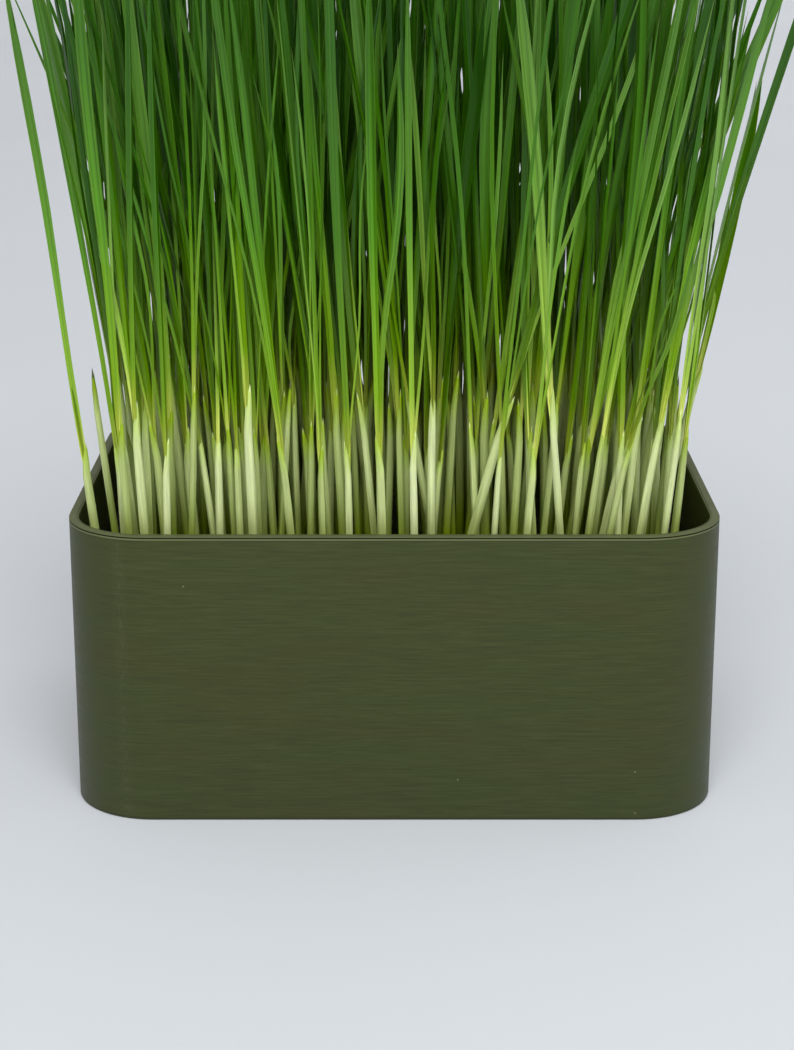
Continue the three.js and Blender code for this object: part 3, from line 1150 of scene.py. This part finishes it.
@dataclass
class Grass:
    """All the seedlings: for each, a sheath with a toothed tip, its leaf and often younger ones.

    Attributes:
        sheath_sides: how many sides a sheath has.
        sheath_cuts: where its rings lie, as shares of its height.
        leaf_cuts: where a leaf's rings lie.
        sunk: how far a sheath reaches down into the bed.
        foot_play: how far its foot strays.
        sheath_width: its width, against the one in the model.
        sheath_flat: its thickness, against its width.
        taper_at: where its width is given.
        taper: its width there.
        bare_width: how much slimmer a sheath without a leaf is.
        tooth: how far its point stands past the leaf's start.
        tooth_lean: how far its point lies to the side, in radii.
        bare_lean: the same, where it has no leaf.
        sheath_tone: how dark or light it is.
        wither_from: where the dry end of a bare one starts.
        wither_over: how fast it gets dry.
        sleeve: how far a leaf reaches down inside its sheath.
        sleeve_width: its width there.
        thickness: its thickness at its foot and at its tip.
        slimness: its width at each known height, against the one in the model.
        width_play: how much narrower still each may be.
        turn_play: how far a younger leaf is turned.
        drift_power: how late along its length a younger leaf drifts away.
        fold_at: where its fold is given.
        fold_low: how far it is folded inside the sheath.
        fold_ease: what is left of that where it leaves the sheath.
        fold_high: how far it is folded above.
        sway: how far it waves.
        habits: how the kinds of leaf differ.
        uv_length: the length of leaf that its colours run over.
        tip_share: where along a leaf its dry tip starts.
        tip_map: where that is on its map.
        tip_rate: how fast the map runs from there.
        hang: how far past the tray's inside a younger leaf may lean.
        turn_back: how much of a shift is kept where a leaf hangs too far.
        crowd_depth: how far in from its edge the stand is dense.
        crowd_painted_shade: how much darker the sheaths are there, as painted shade.
        leaf_painted_shade: how much darker the leaves are there, low down, as painted shade.
        painted_shade_rise: how fast that painted shade fades, up the leaf.
        top_painted_shade: how much of it is left at the top.
        widest: half of the greatest width of a leaf.
        full_length: from what length on a younger leaf drifts fully.
        seed: starts the random draws.
    """

    sheath_sides: int = 8
    sheath_cuts: tuple[float, ...] = (0.3, 0.62, 0.8, 0.9, 0.96)
    leaf_cuts: tuple[float, ...] = (
        0.05, 0.1, 0.16, 0.23, 0.32, 0.42, 0.52, 0.62, 0.72, 0.81, 0.89, 0.95
    )
    sunk: float = 3.0 * MM
    foot_play: float = 1.1 * MM
    sheath_width: float = 0.94
    sheath_flat: float = 0.88
    taper_at: tuple[float, ...] = (0.0, 0.3, 0.68, 0.84, 0.94, 1.0)
    taper: tuple[float, ...] = (1.0, 1.0, 0.96, 0.82, 0.52, 0.0)
    bare_width: float = 0.78
    tooth: float = 1.6 * MM
    tooth_lean: float = 0.85
    bare_lean: float = 0.3
    sheath_tone: Range = (0.3, 1.0)
    wither_from: float = 0.85
    wither_over: float = 0.1
    sleeve: float = 7.0 * MM
    sleeve_width: float = 0.6
    thickness: Range = (0.42 * MM, 0.22 * MM)
    slimness: tuple[float, ...] = (1.1, 0.74, 0.82, 0.96, 1.0)
    width_play: Range = (0.66, 0.98)
    turn_play: float = 1.2
    drift_power: float = 1.25
    fold_at: tuple[float, ...] = (0.0, 0.12, 0.4, 1.0)
    fold_low: float = 0.8
    fold_ease: float = 0.8
    fold_high: Range = (0.2, 0.75)
    sway: Range = (0.3 * MM, 1.7 * MM)
    habits: dict[LeafKind, LeafHabit] = field(
        default_factory=lambda: {
            LeafKind.FIRST: LeafHabit(1.0, (0.0, 0.0), (1.0, 1.0), (1.0, 1.0), (0.2, 0.95)),
            LeafKind.SECOND: LeafHabit(0.9, (3 * MM, 20 * MM), (0.7, 0.98), (0.5, 0.9), (0.2, 1.0)),
            LeafKind.THIRD: LeafHabit(0.6, (6 * MM, 26 * MM), (0.5, 0.96), (0.35, 0.75), (0.25, 1.0)),
        }
    )
    uv_length: float = 150 * MM
    tip_share: float = 0.9
    tip_map: float = 0.93
    tip_rate: float = 0.7
    hang: float = 16 * MM
    turn_back: float = 0.6
    crowd_depth: float = 26 * MM
    # Painted shade for the sheaths deep in the stand.
    crowd_painted_shade: float = 0.62
    # Painted shade for the leaves deep in the stand.
    leaf_painted_shade: float = 0.72
    painted_shade_rise: float = 1.15
    top_painted_shade: float = 0.42
    widest: float = 1.9 * MM
    full_length: float = 120 * MM
    seed: int = 41

    def __post_init__(self) -> None:
        """Models the two repeated shapes and starts the random draws."""
        self.low, self.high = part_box("growing_mix")
        self.draw = random.Random(self.seed)
        sheath = SheathFinish().material()
        self.tube = TubePattern("sheath", self.sheath_sides, self.sheath_cuts, sheath)
        self.blade = TubePattern("leaf", 4, self.leaf_cuts, LeafFinish().material())

    def axes(self, path: np.ndarray, angles: np.ndarray) -> tuple[np.ndarray, np.ndarray]:
        """The directions across a shoot and towards its leaf's keel, square to its path.

        Args:
            path: points along the middle, one for each angle.
            angles: which way the leaf's width runs there, seen from above.

        Returns:
            Unit vectors across and towards the keel.
        """
        ahead = np.gradient(path, axis=0)
        ahead /= np.linalg.norm(ahead, axis=1, keepdims=True)
        across = np.stack([np.cos(angles), np.sin(angles), np.zeros_like(angles)], axis=1)
        across -= ahead * np.sum(across * ahead, axis=1, keepdims=True)
        across /= np.linalg.norm(across, axis=1, keepdims=True)
        return across, np.cross(ahead, across)

    def lay(
        self,
        pattern: TubePattern,
        path: np.ndarray,
        angles: np.ndarray,
        half: np.ndarray,
        deep: np.ndarray,
        sag: np.ndarray,
    ) -> np.ndarray:
        """Lays a tube along a path.

        Args:
            pattern: the tube.
            path: the middle at each of its rings, foot to point.
            angles: which way its width runs at each.
            half: half its width at each.
            deep: half its thickness at each.
            sag: how far its two edges fall away from its keel at each.

        Returns:
            The corners in place.
        """
        across, keel = self.axes(path, angles)
        ring, side, front = pattern.ring, pattern.side, pattern.front
        fall = (0.5 - np.abs(side)) * sag[ring][:, None]
        return (
            path[ring]
            + across[ring] * side * half[ring][:, None]
            + keel[ring] * (front * deep[ring][:, None] + fall)
        )

    def sheath(self, shoot: Shoot, tone: float) -> bpy.types.Object:
        """A seedling's sheath, which ends in a small tooth beside the leaf.

        Args:
            shoot: the seedling.
            tone: its own random tone, times the painted shade deep in the stand.

        Returns:
            The sheath.
        """
        shares = self.tube.shares
        top = (shoot.top if shoot.bare else shoot.neck) + self.tooth
        heights = shoot.foot - self.sunk + shares * (top - shoot.foot + self.sunk)
        path = shoot.middle(heights)
        play = [self.draw.uniform(-self.foot_play, self.foot_play) for _ in range(2)]
        path[:, :2] += np.outer(1 - shares, play)
        angles = np.full_like(heights, np.polyval(shoot.turn, shoot.neck))
        half = shoot.radius * self.sheath_width * smooth_through(shares, self.taper_at, self.taper)
        tip_lean = self.bare_lean if shoot.bare else self.tooth_lean
        lean = smooth_through(shares, (0.0, 0.8, 1.0), (0.0, 0.0, tip_lean))
        across, _ = self.axes(path, angles)
        side = self.draw.choice((-1, 1))
        path = path + across * (side * lean * shoot.radius * self.sheath_width)[:, None]
        if shoot.bare:
            half = half * self.bare_width
        points = self.lay(self.tube, path, angles, half, half * self.sheath_flat, half * 0)
        if shoot.bare:
            past = (self.tube.points[:, 2] - self.wither_from) / self.wither_over
            tone = tone * (1 - np.clip(past, 0.0, 1.0))
        return self.tube.copy(points, tone)

    def leaf(self, shoot: Shoot, kind: LeafKind, tone: float) -> bpy.types.Object:
        """One of a seedling's leaves.

        Args:
            shoot: the seedling.
            kind: which of its leaves it is.
            tone: its own shade.

        Returns:
            The leaf.
        """
        habit, shares = self.habits[kind], self.blade.shares
        length = shoot.top - shoot.neck
        reach = length * self.draw.uniform(*habit.reach)
        start = shoot.neck - self.sleeve
        heights = start + shares * (shoot.neck + reach - start)
        path = shoot.middle(heights)
        known = (shoot.heights - shoot.neck) / length * reach + shoot.neck
        widths = shoot.widths * np.array(self.slimness)
        half = smooth_through(heights, [start, *known], [widths[0] * self.sleeve_width, *widths])
        half = half * self.draw.uniform(*habit.width) * self.draw.uniform(*self.width_play)
        half = half * min(1.0, self.widest / half.max())
        angles = np.polyval(shoot.turn, heights)
        if kind is not LeafKind.FIRST:
            angles = angles + self.draw.uniform(-self.turn_play, self.turn_play)
            spread = self.draw.uniform(*habit.spread) * min(1.0, (reach / self.full_length) ** 2)
            shift = self.drift(shares**self.drift_power, spread)
            path = path + self.kept_in(shift, path[-1])
        path = path + self.drift(self.wave(shares), self.draw.uniform(*self.sway))
        high = self.draw.uniform(*self.fold_high)
        folds = (self.fold_low, self.fold_low * self.fold_ease, high, high)
        fold = smooth_through(shares, self.fold_at, folds)
        thick = np.interp(shares, (0, 1), self.thickness) / 2
        points = self.lay(self.blade, path, angles, half * np.cos(fold), thick, half * np.sin(fold))
        # Painted shade: leaves deep in the stand are darker, most of all low down.
        risen = np.clip(self.blade.points[:, 2] * self.painted_shade_rise, 0, 1)
        depth = 1 - risen * (1 - self.top_painted_shade)
        shade = 1 - self.leaf_painted_shade * self.crowding(shoot) * depth
        return self.blade.copy(points, tone * shade, self.leaf_map(shoot, points))

    def drift(self, amount: np.ndarray, size: float) -> np.ndarray:
        """A level shift in a random direction that grows along a leaf.

        Args:
            amount: how much of it there is at each ring.
            size: how far the whole of it goes.

        Returns:
            The shift at each ring.
        """
        bearing = self.draw.uniform(0, math.tau)
        return np.outer(amount * size, (math.cos(bearing), math.sin(bearing), 0.0))

    def kept_in(self, shift: np.ndarray, tip: np.ndarray) -> np.ndarray:
        """Turns a shift inwards, and lessens it, where a leaf already hangs out over the tray's side.

        Args:
            shift: the shift at each ring.
            tip: where the leaf ends without it.

        Returns:
            The shift to use.
        """
        kept = shift.copy()
        for axis in (0, 1):
            outward = math.copysign(1.0, tip[axis])
            past = abs(tip[axis]) - self.high[axis]
            if past > 0:
                kept[:, axis] = -outward * np.abs(shift[:, axis]) * self.turn_back
            elif shift[-1, axis] * outward > 0:
                room = min(1.0, (-past + self.hang) / abs(shift[-1, axis]))
                kept[:, axis] = shift[:, axis] * room
        return kept

    def crowding(self, shoot: Shoot) -> float:
        """How deep inside the stand a seedling grows, from 0 at its edge to 1.

        Args:
            shoot: the seedling.

        Returns:
            The share.
        """
        x, y, _ = shoot.middle(np.array([shoot.foot]))[0]
        inside = min(self.high.x - abs(x), self.high.y - abs(y))
        return min(max(inside / self.crowd_depth, 0.0), 1.0)

    def wave(self, shares: np.ndarray) -> np.ndarray:
        """A gentle wave along a leaf that starts from nothing."""
        turns, phase = self.draw.uniform(0.5, 1.2), self.draw.uniform(0, math.tau)
        return (np.sin(turns * math.tau * shares + phase) - math.sin(phase)) * np.minimum(shares * 2, 1)

    def leaf_map(self, shoot: Shoot, points: np.ndarray) -> np.ndarray:
        """A leaf's map: across it from 0 to 1, and up it by real length, with its tip at 1.

        Args:
            shoot: the seedling.
            points: the leaf's corners.

        Returns:
            The map, by corner.
        """
        past = self.blade.points[:, 2] - self.tip_share
        rise = np.clip((points[:, 2] - shoot.neck) / self.uv_length, 0.0, self.tip_map)
        along = np.where(past > 0, np.maximum(rise, self.tip_map + self.tip_rate * past), rise)
        return np.stack([0.5 + 0.5 * self.blade.side[:, 0], along], axis=1)

    def tuft(self, node: str) -> tuple[bpy.types.Object, list[Shoot]]:
        """Builds one tuft's sheaths and leaves.

        Args:
            node: the tuft's node in the model.

        Returns:
            The piece, and the seedlings that it holds.
        """
        shoots = TuftReader(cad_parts[node]).shoots()
        parts = []
        for shoot in shoots:
            # Painted shade: sheaths deep in the stand are darker.
            shade = 1 - self.crowd_painted_shade * self.crowding(shoot)
            parts.append(self.sheath(shoot, self.draw.uniform(*self.sheath_tone) * shade))
            if shoot.bare:
                continue
            for kind in LeafKind:
                if self.draw.random() < self.habits[kind].share:
                    parts.append(self.leaf(shoot, kind, self.draw.uniform(*self.habits[kind].tone)))
        piece = join(parts, node.replace("grass_tuft", "seedlings"))
        smooth(piece, 50)
        return piece, shoots

    def build(self) -> tuple[list[bpy.types.Object], list[Shoot]]:
        """Builds and dresses every tuft.

        Returns:
            The pieces, and all the seedlings.
        """
        pieces, everyone = [], []
        for node in sorted(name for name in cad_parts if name.startswith("grass_tuft")):
            piece, shoots = self.tuft(node)
            hand_over(piece, [node])
            pieces.append(piece)
            everyone += shoots
        self.tube.put_away()
        self.blade.put_away()
        return pieces, everyone


@dataclass
class Bed:
    """The bed that the seedlings stand in: rough dark mix from wall to wall, and spent grains on it.

    Attributes:
        corner_radius: the radius of its upright corners.
        cells_across: how many faces its top has across.
        cells_deep: how many it has from front to back.
        lump: how high its lumps are, from hollow to top.
        lump_size: how far apart they lie.
        grain: how high its crumbs are.
        grain_size: how far apart they lie.
        husk_share: how many of the seedlings have a spent grain at their foot.
        husk_length: its length.
        husk_width: its width.
        husk_play: how much its size varies.
        husk_tilt: how far it tilts, up or down.
        husk_cuts: where its rings lie, as shares of its length.
        swell_at: where its width is given.
        swell: its width there.
        seed: starts the random draws.
    """

    corner_radius: float = 17.8 * MM
    cells_across: int = 110
    cells_deep: int = 82
    lump: float = 2.4 * MM
    lump_size: float = 7 * MM
    grain: float = 1.0 * MM
    grain_size: float = 2.2 * MM
    husk_share: float = 0.55
    husk_length: float = 6.6 * MM
    husk_width: float = 2.7 * MM
    husk_play: Range = (0.85, 1.15)
    husk_tilt: float = 0.25
    husk_cuts: tuple[float, ...] = (0.12, 0.3, 0.55, 0.8, 0.93)
    swell_at: tuple[float, ...] = (0.0, 0.3, 0.55, 0.93, 1.0)
    swell: tuple[float, ...] = (0.35, 0.95, 1.0, 0.4, 0.0)
    seed: int = 7

    def __post_init__(self) -> None:
        """Reads the bed's box from the frame."""
        self.low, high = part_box("growing_mix")
        self.half = (high - self.low) / 2
        self.middle = (high + self.low) / 2

    def rounded(self, x: float, y: float) -> tuple[float, float]:
        """Moves a point of the full rectangle into the one with round corners."""
        deep = max(abs(y) - (self.half.y - self.corner_radius), 0.0)
        cut = self.corner_radius - math.sqrt(max(self.corner_radius**2 - deep**2, 0.0))
        return x * (self.half.x - cut) / self.half.x, y

    def block(self, surface: float) -> bpy.types.Object:
        """The bed's solid, with a rough top.

        Args:
            surface: the height of its top.

        Returns:
            The solid.
        """
        deselect()
        bpy.ops.mesh.primitive_grid_add(
            x_subdivisions=self.cells_across, y_subdivisions=self.cells_deep, size=1, location=(0, 0, 0)
        )
        bed = bpy.context.object
        bed.name = "bed"
        bed.scale = (self.half.x * 2, self.half.y * 2, 1)
        settle(bed)
        for vertex in bed.data.vertices:
            x, y = self.rounded(vertex.co.x, vertex.co.y)
            vertex.co = (x + self.middle.x, y + self.middle.y, surface)
        for size, height in ((self.lump_size, self.lump), (self.grain_size, self.grain)):
            texture = bpy.data.textures.new("lumps", "CLOUDS")
            texture.noise_scale = size
            roughen = bed.modifiers.new("lumps", "DISPLACE")
            roughen.texture = texture
            roughen.texture_coords = "GLOBAL"
            roughen.direction = "Z"
            roughen.strength = height
        apply_modifiers(bed)
        activate(bed)
        bpy.ops.object.mode_set(mode="EDIT")
        bpy.ops.mesh.select_mode(type="EDGE")
        bpy.ops.mesh.select_all(action="SELECT")
        bpy.ops.mesh.region_to_loop()
        bpy.ops.mesh.extrude_edges_move(TRANSFORM_OT_translate={"value": (0, 0, -1)})
        bpy.ops.mesh.edge_face_add()
        done_editing()
        for vertex in bed.data.vertices:
            if vertex.co.z < 0:
                vertex.co.z = self.low.z
        smooth(bed, 60)
        return bed

    def inside(self, point: np.ndarray) -> bool:
        """Whether a point lies over the bed, clear of the tray's walls."""
        x, y = abs(point[0] - self.middle.x), abs(point[1] - self.middle.y)
        across = x - (self.half.x - self.corner_radius)
        deep = y - (self.half.y - self.corner_radius)
        return math.hypot(max(across, 0), max(deep, 0)) < self.corner_radius - self.husk_width

    def husks(self, shoots: Sequence[Shoot], surface: float) -> bpy.types.Object:
        """The spent grains at the feet of some seedlings.

        Args:
            shoots: the seedlings.
            surface: the height of the bed's top.

        Returns:
            One piece of all the grains.
        """
        draw = random.Random(self.seed)
        pattern = TubePattern("grain", 6, self.husk_cuts, HuskFinish().material())
        swell = smooth_through(pattern.points[:, 2], self.swell_at, self.swell)
        grains = []
        for shoot in shoots:
            bearing = draw.uniform(0, math.tau)
            tilt = draw.uniform(-self.husk_tilt, self.husk_tilt)
            length = self.husk_length * draw.uniform(*self.husk_play)
            width = self.husk_width * draw.uniform(*self.husk_play)
            level = math.cos(tilt)
            ahead = np.array([math.cos(bearing) * level, math.sin(bearing) * level, math.sin(tilt)])
            side = np.array([-math.sin(bearing), math.cos(bearing), 0.0])
            up = np.cross(ahead, side)
            foot = shoot.middle(np.array([shoot.foot]))[0]
            lift = surface - foot[2] + width * 0.25
            origin = foot + ahead * (shoot.radius - length * 0.15) + up * lift
            if draw.random() > self.husk_share or not self.inside(origin + ahead * length):
                continue
            points = (
                origin
                + np.outer(pattern.points[:, 2] * length, ahead)
                + np.outer(pattern.points[:, 0] * swell * width / 2, side)
                + np.outer(pattern.points[:, 1] * swell * width / 2.4, up)
            )
            grains.append(pattern.copy(points, draw.random()))
        pattern.put_away()
        piece = join(grains, "spent_grains")
        smooth(piece, 60)
        return piece

    def build(self, shoots: Sequence[Shoot]) -> list[bpy.types.Object]:
        """Models and dresses the bed.

        Args:
            shoots: the seedlings that stand in it.

        Returns:
            The bed's pieces.
        """
        surface = shoots[0].foot
        bed = self.block(surface - (self.lump + self.grain) / 4)
        bed.data.materials.append(MixFinish().material())
        hand_over(bed, ["growing_mix"])
        husks = self.husks(shoots, surface)
        hand_over(husks, [])
        return [bed, husks]


@dataclass(frozen=True)
class Lamp:
    """A broad far light.

    Attributes:
        name: its name.
        towards: the way from the plant to it.
        angle: how broad it looks from the plant, in degrees.
        strength: how strong it is.
    """

    name: str
    towards: Colour
    angle: float
    strength: float


@dataclass
class Studio:
    """The pale ground, the soft light and the camera, at the photograph's angle."""

    focal_pixels: float = 2266.0
    frame_height: float = 1050.0
    sensor: float = 36.0
    pitch: float = 16.39
    camera_x: float = 0.65 * MM
    camera_before_front: float = 515.9 * MM
    camera_height: float = 227.7 * MM
    floor_size: float = 120.0
    sky: Colour = (1.0, 0.985, 0.93)
    sky_strength: float = 0.155
    lamp_colour: Colour = (1.0, 0.985, 0.93)
    lamps: tuple[Lamp, ...] = (
        Lamp("above_camera", (0.05, -0.75, 0.85), 48, 1.72),
        Lamp("behind", (0.1, 0.8, 0.9), 80, 0.5),
        Lamp("left", (-1.0, -0.25, 0.75), 80, 0.3),
        Lamp("right", (1.0, -0.25, 0.75), 80, 0.4),
    )
    front_place: Colour = (0.0, -1.1, 0.9)
    front_size: float = 0.8
    front_power: float = 5.5

    def camera(self) -> None:
        """Adds the camera, fitted to the tray's outline in the photograph."""
        data = bpy.data.cameras.new("camera")
        data.sensor_width = self.sensor
        data.lens = self.focal_pixels / self.frame_height * self.sensor
        camera = bpy.data.objects.new("camera", data)
        bpy.context.scene.collection.objects.link(camera)
        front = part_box("planter")[0].y
        camera.location = (self.camera_x, front - self.camera_before_front, self.camera_height)
        camera.rotation_euler = (math.radians(90 - self.pitch), 0, 0)
        bpy.context.scene.camera = camera

    def ground(self) -> None:
        """Adds the floor, just under the tray."""
        deselect()
        bpy.ops.mesh.primitive_plane_add(size=self.floor_size, location=(0, 0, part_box("planter")[0].z))
        floor = bpy.context.object
        floor.name = "ground"
        settle(floor)
        floor.data.materials.append(FloorFinish().material())

    def hang(self, lamp: Lamp) -> None:
        """Adds a broad far light.

        Args:
            lamp: the light.
        """
        data = bpy.data.lights.new(lamp.name, "SUN")
        data.angle = math.radians(lamp.angle)
        data.energy = lamp.strength
        data.color = self.lamp_colour
        made = bpy.data.objects.new(lamp.name, data)
        bpy.context.scene.collection.objects.link(made)
        made.rotation_euler = Vector(lamp.towards).to_track_quat("Z", "Y").to_euler()

    def front_lamp(self) -> None:
        """Adds a near, soft square light over the camera."""
        data = bpy.data.lights.new("front", "AREA")
        data.size = self.front_size
        data.energy = self.front_power
        data.color = self.lamp_colour
        lamp = bpy.data.objects.new("front", data)
        bpy.context.scene.collection.objects.link(lamp)
        lamp.location = self.front_place
        lamp.rotation_euler = Vector(self.front_place).to_track_quat("Z", "Y").to_euler()

    def light(self) -> None:
        """Adds the even light all round, the soft lights above the camera and the weaker ones."""
        world = bpy.data.worlds.new("soft_light")
        world.use_nodes = True
        sky = world.node_tree.nodes["Background"]
        sky.inputs["Color"].default_value = (*self.sky, 1.0)
        sky.inputs["Strength"].default_value = self.sky_strength
        bpy.context.scene.world = world
        for lamp in self.lamps:
            self.hang(lamp)
        self.front_lamp()
        bpy.context.scene.view_settings.view_transform = "Standard"

    def build(self) -> None:
        """Sets the stage."""
        self.camera()
        self.ground()
        self.light()


def main() -> None:
    """Builds the stage and every piece, and reports each."""
    logging.basicConfig(level=logging.INFO, format="%(name)s: %(message)s")
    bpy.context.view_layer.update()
    Studio().build()
    pieces = Tray().build()
    tufts, shoots = Grass().build()
    pieces += Bed().build(shoots) + tufts
    for piece in pieces:
        log.info("%s: %d faces", piece.name, len(piece.data.polygons))
    log.info("%d seedlings", len(shoots))


if __name__ == "__main__":
    main()
